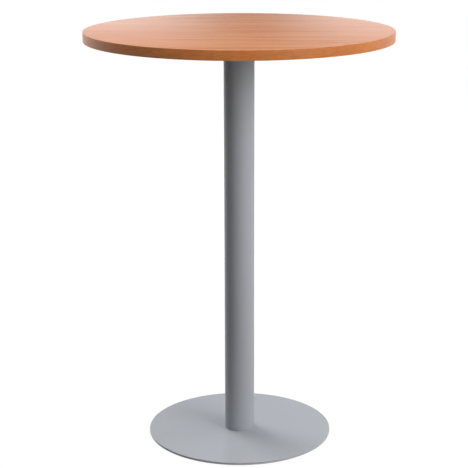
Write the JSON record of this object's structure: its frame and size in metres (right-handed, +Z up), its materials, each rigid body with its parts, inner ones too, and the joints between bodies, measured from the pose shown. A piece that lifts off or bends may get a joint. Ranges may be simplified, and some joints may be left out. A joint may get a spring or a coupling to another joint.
{
  "type": "standing height round table",
  "caption": "Standing-height round table: beech laminate top on a silver steel tube column, with a thin flat round steel base plate.",
  "frame": {"origin": "on the floor, on the column's centre line", "axes": "+Z up along the column to the top; the top's wood grain runs along X"},
  "size_m": [0.7999, 0.8, 1.1],
  "materials": {
    "beech_laminate": "satin",
    "beech_edging": "satin",
    "particle_board": "matte",
    "silver_coating": "satin",
    "bare_steel": "satin",
    "weld_steel": "satin",
    "zinc_steel": "satin",
    "insert_brass": "satin",
    "glide_plastic": "matte"
  },
  "bodies": {
    "root": {"base_bolt_1": "zinc_steel", "base_bolt_2": "zinc_steel", "base_bolt_3": "zinc_steel", "base_bolt_4": "zinc_steel", "base_plate": "silver_coating", "board_insert_1": "insert_brass", "board_insert_2": "insert_brass", "board_insert_3": "insert_brass", "board_insert_4": "insert_brass", "board_insert_5": "insert_brass", "board_insert_6": "insert_brass", "board_insert_7": "insert_brass", "board_insert_8": "insert_brass", "column_tube": "silver_coating", "edge_band": "beech_edging", "floor_glide_1": "glide_plastic", "floor_glide_2": "glide_plastic", "floor_glide_3": "glide_plastic", "floor_glide_4": "glide_plastic", "floor_glide_5": "glide_plastic", "floor_glide_6": "glide_plastic", "lower_end_disc": "bare_steel", "lower_weld_bead": "weld_steel", "mounting_plate": "silver_coating", "plate_bolt_1": "zinc_steel", "plate_bolt_2": "zinc_steel", "plate_bolt_3": "zinc_steel", "plate_bolt_4": "zinc_steel", "plate_screw_1": "zinc_steel", "plate_screw_2": "zinc_steel", "plate_screw_3": "zinc_steel", "plate_screw_4": "zinc_steel", "plate_screw_5": "zinc_steel", "plate_screw_6": "zinc_steel", "plate_screw_7": "zinc_steel", "plate_screw_8": "zinc_steel", "top_board": "particle_board", "top_laminate": "beech_laminate", "underside_laminate": "beech_laminate", "upper_end_disc": "bare_steel", "upper_weld_bead": "weld_steel"}
  },
  "joints": []
}
